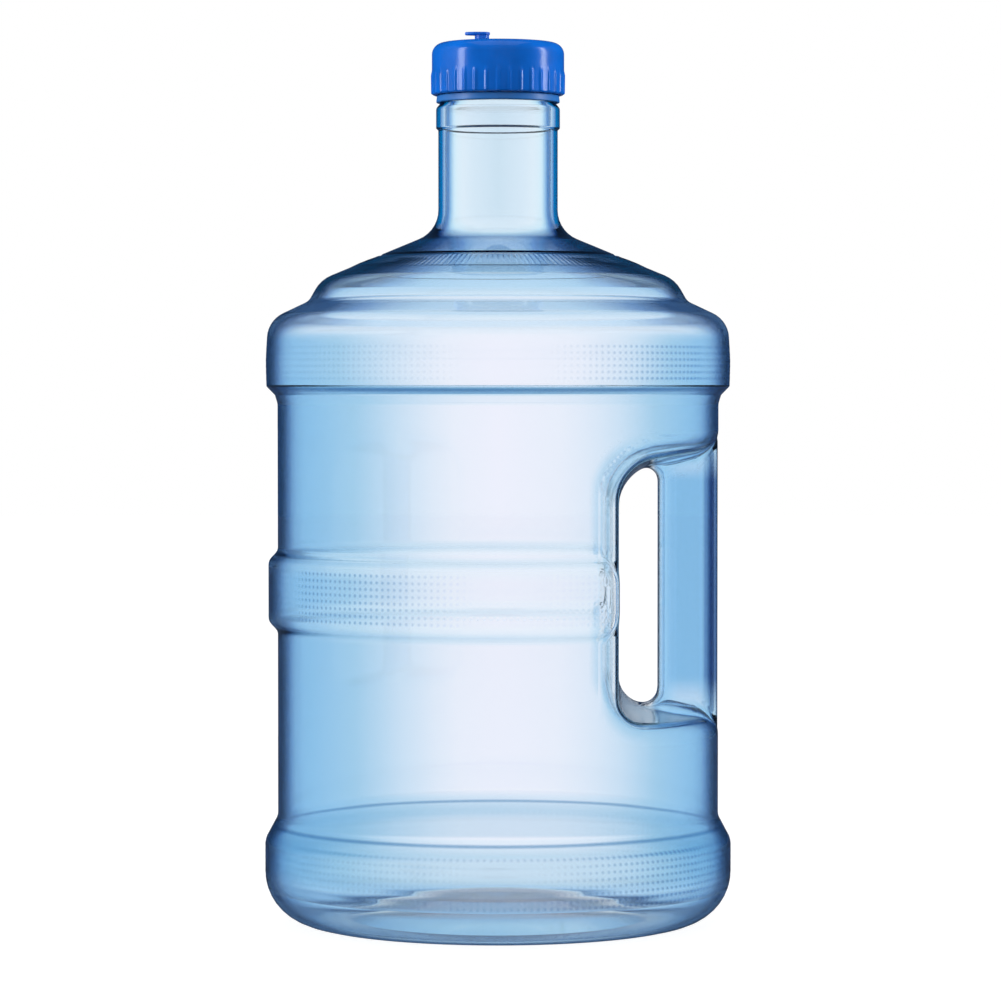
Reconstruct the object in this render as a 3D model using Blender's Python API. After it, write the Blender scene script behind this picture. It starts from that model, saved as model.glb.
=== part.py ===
"""A blow-moulded water jug with an integral handle, a screw cap, and the cap's small parts.

The jug stands on z = 0 with its axis on Z. The handle is on the +X side, and its finger slot
runs along Y. The cap screws onto a three-start right-hand thread: it rises as it turns
anticlockwise seen from above.
"""

from math import atan2, cos, pi, sin, sqrt, tan

import bmesh
import bpy
from mathutils import Vector

MM = 0.001

# Driving dimensions of the bottle.
WALL = 1.5 * MM
BODY_RADIUS = 101.6 * MM
NECK_RADIUS = 27.5 * MM
BORE_RADIUS = 24.4 * MM
RIM_Z = 401.5 * MM
BASE_BAND_RADIUS = 107.5 * MM
MIDDLE_BAND_RADIUS = 105.9 * MM
UPPER_BAND_RADIUS = 107.0 * MM
COLLAR_RADIUS = 28.5 * MM
COLLAR_TOP_Z = 377.2 * MM
COLLAR_BOTTOM_Z = 366.0 * MM
PUSH_UP = 6.5 * MM
PUSH_UP_RADIUS = 52.0 * MM
PUSH_UP_CROWN = 4.5 * MM
FOOT_INNER_RADIUS = 70.0 * MM

# The screw finish at the top of the neck.
THREAD_ROOT_RADIUS = 26.5 * MM
THREAD_STARTS = 3
THREAD_LEAD = 12.0 * MM
THREAD_HEIGHT = 1.2 * MM
THREAD_TURN = 0.56
THREAD_FIRST_Z = 387.0 * MM
THREAD_DEPTH = 0.5 * MM
THREAD_PHASE = 0.02
RETAINING_BEAD_Z = 382.3 * MM

# The handle: a notch right through the wall, and the hollow grip that crosses it.
NOTCH_WALL_X = 55.9 * MM
NOTCH_FAR_X = 135.0 * MM
NOTCH_HALF_DEPTH = 120.0 * MM
FLOOR_Z = 101.5 * MM
FLOOR_FALL = 0.13
ROOF_Z = 207.2 * MM
ROOF_RISE = 0.23
NOTCH_DRAFT = 8.5 * MM
NOTCH_WALL_SHARE = 0.41
NOTCH_CORNER = 8.5 * MM
GRIP_INNER_X = 74.8 * MM
GRIP_OUTER_X = 101.2 * MM
GRIP_HALF_WIDTH = 16.5 * MM
GRIP_FLARE = 8.0 * MM
GRIP_SQUARENESS = 2.7

# The cap and what goes with it.
CAP_TOP_Z = 405.5 * MM
CAP_BOTTOM_Z = 381.3 * MM
CAP_RADIUS = 30.5 * MM
CAP_EDGE_RADIUS = 30.8 * MM
CAP_CORNER = 5.0 * MM
CAP_PLATE = 1.9 * MM
CAP_BORE_RADIUS = 28.3 * MM
RIB_COUNT = 36
RIB_HEIGHT = 0.55 * MM
RIB_TOP_Z = 393.5 * MM
LINER_OUTER_RADIUS = 27.6 * MM
LINER_INNER_RADIUS = 22.0 * MM
RING_TOP_RADIUS = 28.0 * MM
RING_HEIGHT = 3.2 * MM
VENT_X = -7.4 * MM
VENT_HOLE_RADIUS = 2.9 * MM
STEM_RADIUS = 3.4 * MM
PLUG_HEAD_HEIGHT = 1.3 * MM
PLUG_HEAD_LIFT = 3.5 * MM
PLUG_LIP_LENGTH = 7.9 * MM
PLUG_DEPTH = 4.2 * MM

CLEARANCE = 0.3 * MM
BODY_STEPS = 40
CAP_STEPS = 72
GRIP_POINTS = 28
ARC_STEP = 30 * pi / 180
SMALL_ARC = 1.3 * MM


def fillet(before, corner, after, radius):
    """Points of the arc that rounds a corner of an outline, or the corner itself."""
    to_before = (before - corner).normalized()
    to_after = (after - corner).normalized()
    half = to_before.angle(to_after) / 2
    if radius <= 0 or half > pi / 2 - 0.01:
        return [corner]
    reach = radius / tan(half)
    centre = corner + (to_before + to_after).normalized() * radius / sin(half)
    first = corner + to_before * reach - centre
    last = corner + to_after * reach - centre
    turn = first.angle_signed(last)
    steps = max(2 if radius > SMALL_ARC else 1, round(abs(turn) / ARC_STEP))
    start = atan2(first.y, first.x)
    return [
        centre + radius * Vector((cos(start - turn * i / steps), sin(start - turn * i / steps)))
        for i in range(steps + 1)
    ]


def rounded(corners):
    """The points of an open outline of (r, z, fillet radius), its corners rounded."""
    points = [Vector(corner[:2]) for corner in corners]
    outline = [points[0]]
    for i in range(1, len(points) - 1):
        outline += fillet(points[i - 1], points[i], points[i + 1], corners[i][2])
    return outline + [points[-1]]


def rounded_loop(corners):
    """The points of a closed outline of (x, y, fillet radius), its corners rounded."""
    points = [Vector(corner[:2]) for corner in corners]
    outline = []
    for i, corner in enumerate(points):
        after = points[(i + 1) % len(points)]
        outline += fillet(points[i - 1], corner, after, corners[i][2])
    return outline


def inset(corners, depth):
    """An open outline moved inwards by depth, fillets included. It runs down its outer side."""
    points = [Vector(corner[:2]) for corner in corners]
    ways = [(b - a).normalized() for a, b in zip(points, points[1:])]
    moved = []
    for i, point in enumerate(points):
        before = ways[max(i - 1, 0)]
        after = ways[min(i, len(ways) - 1)]
        inwards = Vector((before.y, -before.x)) + Vector((after.y, -after.x))
        shift = inwards * depth / (1 + before.dot(after))
        bends_in = before.x * after.y - before.y * after.x < 0
        radius = corners[i][2]
        if radius > 0:
            radius = max(radius - depth, 0.3 * MM) if bends_in else radius + depth
        x = point.x + shift.x if point.x > 0 else 0
        moved.append((x, point.y + shift.y, radius))
    return moved


def make_object(name, mesh, material=None):
    obj = bpy.data.objects.new(name, mesh)
    bpy.context.scene.collection.objects.link(obj)
    if material:
        mesh.materials.append(material)
        mesh.shade_smooth()
        mesh.set_sharp_from_angle(angle=0.6)
    else:
        obj.hide_render = True
        obj.display_type = "WIRE"
    return obj


def lathe(name, outline, steps, material=None):
    """A turned solid from an outline that runs down its outer side, or from a closed loop."""
    mesh = bpy.data.meshes.new(name)
    closed = min(outline[0].x, outline[-1].x) > MM
    edges = [(i, i + 1) for i in range(len(outline) - 1)]
    if closed:
        edges.append((len(outline) - 1, 0))
    mesh.from_pydata([(point.x, 0, point.y) for point in outline], edges, [])
    obj = make_object(name, mesh, material)
    screw = obj.modifiers.new("Lathe", "SCREW")
    screw.steps = screw.render_steps = steps
    screw.use_merge_vertices = True
    screw.merge_threshold = 0.01 * MM
    screw.use_smooth_shade = True
    return obj


def loft(name, sections, material=None):
    """A closed solid through sections of equally many points, each a loop in space."""
    bm = bmesh.new()
    rings = [[bm.verts.new(point) for point in section] for section in sections]
    for lower, upper in zip(rings, rings[1:]):
        for i, vert in enumerate(lower):
            j = (i + 1) % len(lower)
            bm.faces.new((vert, lower[j], upper[j], upper[i]))
    bm.faces.new(rings[0])
    bm.faces.new(rings[-1])
    bmesh.ops.recalc_face_normals(bm, faces=bm.faces)
    mesh = bpy.data.meshes.new(name)
    bm.to_mesh(mesh)
    bm.free()
    return make_object(name, mesh, material)


def combine(obj, operation, other):
    modifier = obj.modifiers.new(f"{operation.title()} {other.name}", "BOOLEAN")
    modifier.operation = operation
    modifier.object = other
    modifier.solver = "EXACT"


def plastic(name, colour, roughness, transmission=0.0):
    material = bpy.data.materials.new(name)
    material.use_nodes = True
    shader = material.node_tree.nodes["Principled BSDF"]
    shader.inputs["Base Color"].default_value = (*colour, 1)
    shader.inputs["Roughness"].default_value = roughness
    shader.inputs["Metallic"].default_value = 0.0
    shader.inputs["Transmission Weight"].default_value = transmission
    return material


def body_corners():
    """Corners of the bottle's outside below the collar, as (radius, height, fillet)."""
    wall, neck = BODY_RADIUS, NECK_RADIUS
    upper, middle, base = UPPER_BAND_RADIUS, MIDDLE_BAND_RADIUS, BASE_BAND_RADIUS
    return [
        (neck, COLLAR_BOTTOM_Z - MM, 0),
        (neck, 318.5 * MM, 13.4 * MM),
        (81.6 * MM, 296.3 * MM, 14 * MM),
        (87.3 * MM, 286.7 * MM, 5 * MM),
        (upper - 0.9 * MM, 278.2 * MM, 13 * MM),
        (upper, 259 * MM, 40 * MM),
        (upper - 0.3 * MM, 247.2 * MM, 1.6 * MM),
        (wall, 242.2 * MM, 3 * MM),
        (wall, 169.9 * MM, 2.5 * MM),
        (middle, 164.9 * MM, 5 * MM),
        (middle, 140.3 * MM, 3.2 * MM),
        (wall, 135.6 * MM, 2.5 * MM),
        (wall, 50.0 * MM, 9 * MM),
        (base, 38.8 * MM, 8 * MM),
        (base, 0, 23 * MM),
        (FOOT_INNER_RADIUS, 0, 3 * MM),
        (PUSH_UP_RADIUS, PUSH_UP, 60 * MM),
        (0, PUSH_UP + PUSH_UP_CROWN, 0),
    ]


def finish_corners():
    """Corners of the neck finish, from the axis at the rim down to the collar."""
    root, collar = THREAD_ROOT_RADIUS, COLLAR_RADIUS
    bead = RETAINING_BEAD_Z
    return [
        (0, RIM_Z, 0),
        (root, RIM_Z, 0.8 * MM),
        (root, bead + 0.7 * MM, 0),
        (root + 0.9 * MM, bead, 0.3 * MM),
        (root, bead - 0.7 * MM, 0),
        (root, COLLAR_TOP_Z, 0),
        (collar, COLLAR_TOP_Z, 1.2 * MM),
        (collar, COLLAR_BOTTOM_Z, 0.8 * MM),
        (NECK_RADIUS, COLLAR_BOTTOM_Z - 0.8 * MM, 0),
    ]


def thread(name, root, height, foot, start_z, turn):
    """One solid per start: a tapering ridge that climbs a right-hand helix round the Z axis.

    A positive height stands out from the root radius and a negative one stands in from it.
    """
    steps = round(BODY_STEPS * turn)
    side = 1 if height > 0 else -1
    ridges = []
    for start in range(THREAD_STARTS):
        sections = []
        for i in range(steps + 1):
            angle = 2 * pi * (turn * i / steps + (start + THREAD_PHASE) / THREAD_STARTS)
            z = start_z + THREAD_LEAD * turn * i / steps
            fade = min(1, 0.3 + min(i, steps - i) / 5)
            buried, crest = root - THREAD_DEPTH * side, root + height * fade
            profile = [
                (buried, -foot * 0.6), (crest, -foot * 0.22),
                (crest, foot * 0.22), (buried, foot * 0.6),
            ]
            sections.append([(r * cos(angle), r * sin(angle), z + dz) for r, dz in profile])
        ridges.append(loft(f"{name}_{start + 1}", sections))
    return ridges


def notch(name, grown):
    """The notch's cutter. Its sides open outwards from the mould's parting plane at y = 0."""
    wall, floor, roof = NOTCH_WALL_X - grown, FLOOR_Z - grown, ROOF_Z + grown
    reach = NOTCH_FAR_X - NOTCH_WALL_X
    sections = []
    for share in (-1, 0, 1):
        open_by = NOTCH_DRAFT * abs(share)
        left, low, high = wall - NOTCH_WALL_SHARE * open_by, floor - open_by, roof + open_by
        corner = (NOTCH_CORNER + grown) * (1 + 0.6 * abs(share))
        outline = rounded_loop([
            (left, low, corner * 0.8),
            (NOTCH_FAR_X, low - reach * FLOOR_FALL, 0),
            (NOTCH_FAR_X, high + reach * ROOF_RISE, 0),
            (left, high, corner),
        ])
        sections.append([(p.x, share * NOTCH_HALF_DEPTH, p.y) for p in outline])
    return loft(name, sections)


def grip(name, shrunk):
    """The grip's column, flared where it meets the notch's floor and roof."""
    middle = (GRIP_INNER_X + GRIP_OUTER_X) / 2
    floor = FLOOR_Z - FLOOR_FALL * (middle - NOTCH_WALL_X) - shrunk
    roof = ROOF_Z + ROOF_RISE * (middle - NOTCH_WALL_X) + shrunk
    flare = GRIP_FLARE + shrunk
    buried = 6 * MM + shrunk
    rises = [0.0, 0.12, 0.3, 0.55, 1.0]
    heights = [floor - buried, *(floor + flare * t for t in rises)]
    heights += [roof - flare * t for t in reversed(rises)] + [roof + buried]
    sections = []
    for z in heights:
        gap = min(max(min(z - floor, roof - z), 0), flare)
        spread = flare - sqrt(flare**2 - (flare - gap) ** 2)
        sections.append(grip_section(z, spread, shrunk))
    return loft(name, sections)


def grip_section(z, spread, shrunk):
    """A level cut through the grip: a squared ellipse whose outer side stays flush."""
    inner = GRIP_INNER_X - spread + shrunk
    outer = GRIP_OUTER_X - shrunk
    half_x, half_y = (outer - inner) / 2, GRIP_HALF_WIDTH + spread - shrunk
    power = 2 / GRIP_SQUARENESS
    loop = []
    for i in range(GRIP_POINTS):
        c, s = cos(2 * pi * i / GRIP_POINTS), sin(2 * pi * i / GRIP_POINTS)
        x = (inner + outer) / 2 + half_x * abs(c) ** power * (1 if c > 0 else -1)
        y = half_y * abs(s) ** power * (1 if s > 0 else -1)
        loop.append((x, y, z))
    return loop


def build_bottle(material):
    """The one blow-moulded piece: outside minus cavity, each with its notch and grip."""
    corners = body_corners()
    outside = rounded(finish_corners()[:-1] + corners)
    bottle = lathe("bottle", outside, BODY_STEPS, material)
    for ridge in thread("neck_thread", THREAD_ROOT_RADIUS, THREAD_HEIGHT, 1.7 * MM,
                        THREAD_FIRST_Z, THREAD_TURN):
        combine(bottle, "UNION", ridge)

    inner = inset(corners, WALL)
    inner[0] = (BORE_RADIUS, RIM_Z + 10 * MM, 0)
    inner[1] = (BORE_RADIUS, inner[1][1], inner[1][2])
    cavity = lathe("cavity", rounded([(0, RIM_Z + 10 * MM, 0), *inner]), BODY_STEPS)
    combine(cavity, "DIFFERENCE", notch("cavity_notch", WALL))
    combine(cavity, "UNION", grip("grip_core", WALL))

    combine(bottle, "DIFFERENCE", notch("handle_notch", 0))
    combine(bottle, "UNION", grip("grip_column", 0))
    combine(bottle, "DIFFERENCE", cavity)
    return bottle


def rib_ring(radius, z, proud):
    """A ring of points whose radius rises at every rib."""
    loop = []
    for i in range(2 * RIB_COUNT):
        r = radius + (proud if i % 2 else 0)
        angle = pi * i / RIB_COUNT
        loop.append((r * cos(angle), r * sin(angle), z))
    return loop


def build_cap(material):
    """The cap: a ribbed skirt and a plate, with its thread inside and its vent hole."""
    soft, foot = CAP_CORNER, 1.2 * MM
    low, high = CAP_EDGE_RADIUS - RIB_HEIGHT, CAP_RADIUS
    sections = [
        rib_ring(low - foot / 2, CAP_BOTTOM_Z, 0),
        rib_ring(low, CAP_BOTTOM_Z + foot / 2, RIB_HEIGHT),
        rib_ring(low, RIB_TOP_Z - 1.5 * MM, RIB_HEIGHT),
        rib_ring(high, RIB_TOP_Z + 0.5 * MM, 0),
    ]
    for turn in (0, 0.3, 0.6, 1):
        angle = turn * pi / 2
        radius = high - soft * (1 - cos(angle))
        sections.append(rib_ring(radius, CAP_TOP_Z - soft * (1 - sin(angle)), 0))
    cap = loft("cap", sections, material)
    plate = CAP_TOP_Z - CAP_PLATE
    hollow = rounded([
        (0, plate, 0), (CAP_BORE_RADIUS, plate, 1 * MM),
        (CAP_BORE_RADIUS, CAP_BOTTOM_Z - MM, 0), (0, CAP_BOTTOM_Z - MM, 0),
    ])
    combine(cap, "DIFFERENCE", lathe("cap_hollow", hollow, CAP_STEPS))
    hole = [Vector((0, CAP_TOP_Z + MM)), Vector((VENT_HOLE_RADIUS, CAP_TOP_Z + MM)),
            Vector((VENT_HOLE_RADIUS, plate - MM)), Vector((0, plate - MM))]
    vent = lathe("vent_hole", hole, 24)
    vent.location.x = VENT_X
    combine(cap, "DIFFERENCE", vent)
    # The cap's ridges lie midway between the neck's, on the same helix.
    pitch = THREAD_LEAD / THREAD_STARTS
    for ridge in thread("cap_thread", CAP_BORE_RADIUS, -THREAD_HEIGHT, 1.5 * MM,
                        THREAD_FIRST_Z - pitch / 2, 0.4):
        combine(cap, "UNION", ridge)
    return cap


def build_liner(material):
    """The sealing ring between the rim and the cap's plate."""
    top, low = CAP_TOP_Z - CAP_PLATE - CLEARANCE / 2, RIM_Z + CLEARANCE / 2
    soft = 0.3 * MM
    outline = rounded_loop([
        (LINER_INNER_RADIUS, top, soft), (LINER_OUTER_RADIUS, top, soft),
        (LINER_OUTER_RADIUS, low, soft), (LINER_INNER_RADIUS, low, soft),
    ])
    return lathe("sealing_liner", outline, BODY_STEPS, material)


def build_ring(material):
    """The tamper ring under the skirt. It stays on the neck, held by the retaining bead."""
    top = CAP_BOTTOM_Z - CLEARANCE
    low = top - RING_HEIGHT
    inside = THREAD_ROOT_RADIUS + CLEARANCE
    outline = rounded_loop([
        (inside, top, 0), (RING_TOP_RADIUS, top, 0.3 * MM),
        (COLLAR_RADIUS, low, 0.4 * MM), (inside, low, 0),
    ])
    return lathe("tamper_ring", outline, BODY_STEPS, material)


def build_plug(material):
    """The vent plug: a shank in the hole, a shoulder on the cap, and a head with a lip."""
    head_low = CAP_TOP_Z + PLUG_HEAD_LIFT
    head_top = head_low + PLUG_HEAD_HEIGHT
    plug_bottom = CAP_TOP_Z - PLUG_DEPTH
    shank = VENT_HOLE_RADIUS - CLEARANCE
    stem = rounded([
        (0, head_low + 0.6 * MM, 0), (STEM_RADIUS, head_low + 0.6 * MM, 0),
        (STEM_RADIUS, CAP_TOP_Z + CLEARANCE, 0), (shank, CAP_TOP_Z + CLEARANCE, 0),
        (shank, plug_bottom, 0.9 * MM), (0, plug_bottom, 0),
    ])
    plug = lathe("vent_plug", stem, 24, material)
    plug.location.x = VENT_X
    half = STEM_RADIUS + 0.3 * MM
    tip = STEM_RADIUS * 0.62
    outline = rounded_loop([
        (half, -half, half * 0.9), (half, half, half * 0.9),
        (-half, half, half * 0.4), (-PLUG_LIP_LENGTH, tip, tip * 0.9),
        (-PLUG_LIP_LENGTH, -tip, tip * 0.9), (-half, -half, half * 0.4),
    ])
    sections = [[(p.x, p.y, z) for p in outline] for z in (head_low, head_top)]
    head = loft("plug_head", sections)
    head.location.x = VENT_X
    bevel = head.modifiers.new("Soft edges", "BEVEL")
    bevel.width = 0.25 * MM
    bevel.segments = 1
    bevel.limit_method = "ANGLE"
    combine(plug, "UNION", head)
    return plug


def main():
    for obj in list(bpy.data.objects):
        bpy.data.objects.remove(obj)
    clear_blue = plastic("clear_blue_polycarbonate", (0.62, 0.80, 0.93), 0.05, 0.9)
    cap_blue = plastic("cap_blue", (0.005, 0.13, 0.52), 0.3)
    ring_blue = plastic("ring_blue", (0.01, 0.16, 0.50), 0.35)
    seal_white = plastic("seal_white", (0.85, 0.87, 0.88), 0.7)
    build_bottle(clear_blue)
    build_cap(cap_blue)
    build_liner(seal_white)
    build_ring(ring_blue)
    build_plug(cap_blue)


main()
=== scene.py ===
"""Finished look of a translucent water jug with a moulded handle, a screw cap and a vent plug.

The jug stands on z = 0 with its axis on Z, and its handle is on the +X side. The bottle is one
skin: turned rings above and below the handle, and between them a surface taken from distance
fields, so that the handle runs into the wall with real fillets.
"""

from math import atan2, ceil, cos, pi, radians, sin, tan

import bmesh
import bpy
import numpy as np
from bpy.props import FloatProperty, FloatVectorProperty, IntProperty, PointerProperty
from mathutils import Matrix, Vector


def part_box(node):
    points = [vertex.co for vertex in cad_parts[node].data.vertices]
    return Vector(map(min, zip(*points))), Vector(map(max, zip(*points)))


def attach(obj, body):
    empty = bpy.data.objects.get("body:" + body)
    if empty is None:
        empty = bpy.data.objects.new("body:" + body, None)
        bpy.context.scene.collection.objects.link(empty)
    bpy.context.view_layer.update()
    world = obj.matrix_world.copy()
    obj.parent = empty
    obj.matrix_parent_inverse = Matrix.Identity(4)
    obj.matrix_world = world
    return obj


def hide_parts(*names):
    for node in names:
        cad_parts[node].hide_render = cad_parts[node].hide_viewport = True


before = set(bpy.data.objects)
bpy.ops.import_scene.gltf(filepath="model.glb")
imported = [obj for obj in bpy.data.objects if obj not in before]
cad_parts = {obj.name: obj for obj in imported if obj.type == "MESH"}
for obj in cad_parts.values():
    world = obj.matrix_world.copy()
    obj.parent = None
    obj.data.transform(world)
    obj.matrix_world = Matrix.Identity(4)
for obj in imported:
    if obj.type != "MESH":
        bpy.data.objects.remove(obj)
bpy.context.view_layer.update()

bl_info = {
    "name": "Water Jug",
    "version": (1, 0, 0),
    "blender": (4, 5, 0),
    "location": "View3D > Sidebar > Jug",
    "description": "Builds a translucent water jug round its CAD frame",
    "category": "Add Mesh",
}

MM = 0.001
TURN = 2 * pi
BOTTLE_LOW, BOTTLE_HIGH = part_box("bottle")
CAP_LOW, CAP_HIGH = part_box("cap")
RING_LOW, RING_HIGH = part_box("tamper_ring")
LINER_LOW, LINER_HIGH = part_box("sealing_liner")
PLUG_LOW, PLUG_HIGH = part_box("vent_plug")

# Heights and radii of the bottle that its bands, neck and base are placed by.
FOOT_Z = BOTTLE_LOW.z
RIM_Z = BOTTLE_HIGH.z
BASE_RADIUS = BOTTLE_HIGH.x
WALL_RADIUS = BASE_RADIUS - 5.9 * MM
UPPER_RADIUS = BASE_RADIUS - 0.5 * MM
MIDDLE_RADIUS = BASE_RADIUS - 1.6 * MM
NECK_RADIUS = 27.5 * MM
BORE_RADIUS = 24.4 * MM
THREAD_ROOT = 26.5 * MM
COLLAR_RADIUS = 28.5 * MM
COLLAR_TOP_Z = RIM_Z - 24.3 * MM
COLLAR_LOW_Z = RIM_Z - 35.5 * MM
BEAD_Z = RIM_Z - 19.2 * MM
THREAD_Z = RIM_Z - 14.5 * MM
THREAD_LEAD = 12 * MM
THREAD_STARTS = 3
THREAD_PHASE = 0.02
FOOT_INNER = 70 * MM
SEAM_Z = 308.2 * MM
UPPER_DOTS = (249.6 * MM, 266.4 * MM)
MIDDLE_BAND = (136.4 * MM, 170.2 * MM)
MIDDLE_DOTS = (141.4 * MM, 165.4 * MM)
LOWER_DOTS = (16.8 * MM, 41.4 * MM)
UPPER_ROWS = 6
MIDDLE_ROWS = 8
LOWER_ROWS = 8

# The stretch of the bottle that the handle is in, and the handle's own places.
ZONE = (86 * MM, 228 * MM)
NOTCH_WALL_X = 55.9 * MM
FLOOR_Z = 102.9 * MM
FLOOR_FALL = 0.13
ROOF_Z = 207.2 * MM
ROOF_RISE = 0.23
NOTCH_DRAFT = 0.071
NOTCH_WALL_DRAFT = 0.029
GRIP_X = (73.9 * MM, 101.1 * MM)
GRIP_HALF_WIDTH = 16.4 * MM
GRIP_CORNER = 10.5 * MM
BAND_END_X = 54.4 * MM
BAND_CORNER = 11 * MM

# Fillets of that stretch. The grip's own one is smaller where it meets the outside of the wall.
NOTCH_EDGE_FILLET = 9 * MM
NOTCH_FLOOR_FILLET = 11 * MM
NOTCH_ROOF_FILLET = 15 * MM
GRIP_FILLET = 8.5 * MM
GRIP_OUTER_FILLET = 1.2 * MM
BAND_EDGE_FILLET = 5 * MM
BAND_FOOT_FILLET = 3 * MM

# Column and row spacing of the handle's stretch, as multiples of the finest one.
OUTER_GAP = 1.0
INNER_GAP = 1.4

VENT_X = (PLUG_LOW.x + PLUG_HIGH.x) / 2 + 2.1 * MM
VENT_HOLE = 2.9 * MM
ROD_COLUMNS = 48


# Outlines


def fillet(before, corner, after, radius, step):
    """Points of the arc that rounds a corner of an outline, or the corner itself."""
    to_before = (before - corner).normalized()
    to_after = (after - corner).normalized()
    half = to_before.angle(to_after) / 2
    if radius <= 0 or half > pi / 2 - 0.01:
        return [corner]
    reach = radius / tan(half)
    centre = corner + (to_before + to_after).normalized() * radius / sin(half)
    first = corner + to_before * reach - centre
    turn = first.angle_signed(corner + to_after * reach - centre)
    steps = max(2, round(abs(turn) / step))
    start = atan2(first.y, first.x)
    return [
        centre + radius * Vector((cos(start - turn * i / steps), sin(start - turn * i / steps)))
        for i in range(steps + 1)
    ]


def outline(corners, step=radians(11), longest=9 * MM):
    """An open outline of (r, z, fillet radius), rounded, with its long runs divided."""
    points = [Vector(corner[:2]) for corner in corners]
    bent = [points[0]]
    for i in range(1, len(points) - 1):
        bent += fillet(points[i - 1], points[i], points[i + 1], corners[i][2], step)
    bent.append(points[-1])
    divided = [bent[0]]
    for start, end in zip(bent, bent[1:]):
        parts = max(1, ceil((end - start).length / longest))
        divided += [start.lerp(end, i / parts) for i in range(1, parts + 1)]
    return divided


def loop(corners):
    """The points of a closed outline of (x, y, fillet radius), its corners rounded."""
    points = [Vector(corner[:2]) for corner in corners]
    bent = []
    for i, corner in enumerate(points):
        after = points[(i + 1) % len(points)]
        bent += fillet(points[i - 1], corner, after, corners[i][2], radians(15))
    return bent


def inset(corners, depth):
    """An open outline moved inwards by depth, fillets included. It runs down its outer side."""
    points = [Vector(corner[:2]) for corner in corners]
    ways = [(b - a).normalized() for a, b in zip(points, points[1:])]
    moved = []
    for i, point in enumerate(points):
        before = ways[max(i - 1, 0)]
        after = ways[min(i, len(ways) - 1)]
        inwards = Vector((before.y, -before.x)) + Vector((after.y, -after.x))
        shift = inwards * depth / (1 + before.dot(after))
        bends_in = before.x * after.y - before.y * after.x < 0
        radius = corners[i][2]
        if radius > 0:
            radius = max(radius - depth, 0.3 * MM) if bends_in else radius + depth
        x = point.x + shift.x if point.x > 0 else 0
        moved.append((x, point.y + shift.y, radius))
    return moved


# Skins made of rings


class Ring:
    """Points round the Z axis, in order of angle, that a skin has already got."""

    def __init__(self, numbers, angles):
        self.numbers = list(numbers)
        self.angles = list(angles)


class Skin:
    """A closed surface put together from rings, poles and patches."""

    def __init__(self):
        self.points = []
        self.faces = []
        self.normals = []

    def ring(self, radius, z, columns, phase=0.0):
        """A ring. The radius and z are numbers, or arrays with one value for each column."""
        angles = (np.arange(columns) + phase) * TURN / columns
        return self.place(np.broadcast_to(radius, columns), np.broadcast_to(z, columns), angles)

    def place(self, radii, heights, angles):
        first = len(self.points)
        for r, z, angle in zip(radii, heights, angles):
            self.points.append((r * cos(angle), r * sin(angle), z))
        return Ring(range(first, len(self.points)), angles)

    def pole(self, z):
        self.points.append((0, 0, z))
        return Ring([len(self.points) - 1], [0])

    def patch(self, points, normals, faces, rings):
        """Adds a ready surface, and returns its open edges as rings."""
        first = len(self.points)
        self.normals.append((first, normals))
        self.points += [tuple(point) for point in points]
        self.faces += [tuple(int(number) + first for number in face) for face in faces]
        return [Ring([int(n) + first for n in ring.numbers], ring.angles) for ring in rings]

    def join(self, one, other):
        """Faces between two rings that follow each other down the outer side of the skin."""
        if len(one.numbers) == 1 or len(other.numbers) == 1:
            self.fan(one, other)
            return
        if len(one.angles) == len(other.angles) and np.allclose(one.angles, other.angles):
            count = len(one.numbers)
            for i in range(count):
                j = (i + 1) % count
                self.faces.append(
                    (one.numbers[i], other.numbers[i], other.numbers[j], one.numbers[j])
                )
            return
        self.zip_up(one, other)

    def fan(self, one, other):
        pole, rim = (one, other) if len(one.numbers) == 1 else (other, one)
        count = len(rim.numbers)
        for i in range(count):
            a, b = rim.numbers[i], rim.numbers[(i + 1) % count]
            self.faces.append((pole.numbers[0], a, b) if pole is one else (a, pole.numbers[0], b))

    def zip_up(self, one, other):
        """Triangles between two rings whose points don't face each other."""
        n, m = len(one.numbers), len(other.numbers)
        ahead = [*one.angles[1:], one.angles[0] + TURN]
        beyond = [*other.angles[1:], other.angles[0] + TURN]
        i = j = 0
        while i < n or j < m:
            a, b = one.numbers[i % n], other.numbers[j % m]
            if j == m or (i < n and ahead[i] <= beyond[j]):
                self.faces.append((a, b, one.numbers[(i + 1) % n]))
                i += 1
            else:
                self.faces.append((a, b, other.numbers[(j + 1) % m]))
                j += 1

    def chain(self, rings):
        for one, other in zip(rings, rings[1:]):
            self.join(one, other)
        return rings

    def object(self, name, material, sharp=None):
        mesh = bpy.data.meshes.new(name)
        mesh.from_pydata(self.points, [], self.faces)
        tidy(mesh)
        obj = add_object(name, mesh, material, sharp)
        if self.normals:
            soften(mesh, self.normals)
        return obj


def soften(mesh, known):
    """Gives each point a known normal, or its faces' normals weighted by their areas."""
    count = len(mesh.polygons)
    ways, areas = np.empty(count * 3), np.empty(count)
    sizes, numbers = np.empty(count, int), np.empty(len(mesh.loops), int)
    mesh.polygons.foreach_get("normal", ways)
    mesh.polygons.foreach_get("area", areas)
    mesh.polygons.foreach_get("loop_total", sizes)
    mesh.loops.foreach_get("vertex_index", numbers)
    normals = np.zeros((len(mesh.vertices), 3))
    np.add.at(normals, numbers, np.repeat(ways.reshape(-1, 3) * areas[:, None], sizes, axis=0))
    for first, values in known:
        normals[first:first + len(values)] = values
    normals /= np.maximum(np.linalg.norm(normals, axis=1), 1e-12)[:, None]
    mesh.normals_split_custom_set_from_vertices(normals)


def tidy(mesh):
    bm = bmesh.new()
    bm.from_mesh(mesh)
    bmesh.ops.recalc_face_normals(bm, faces=bm.faces)
    bm.to_mesh(mesh)
    bm.free()


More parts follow.
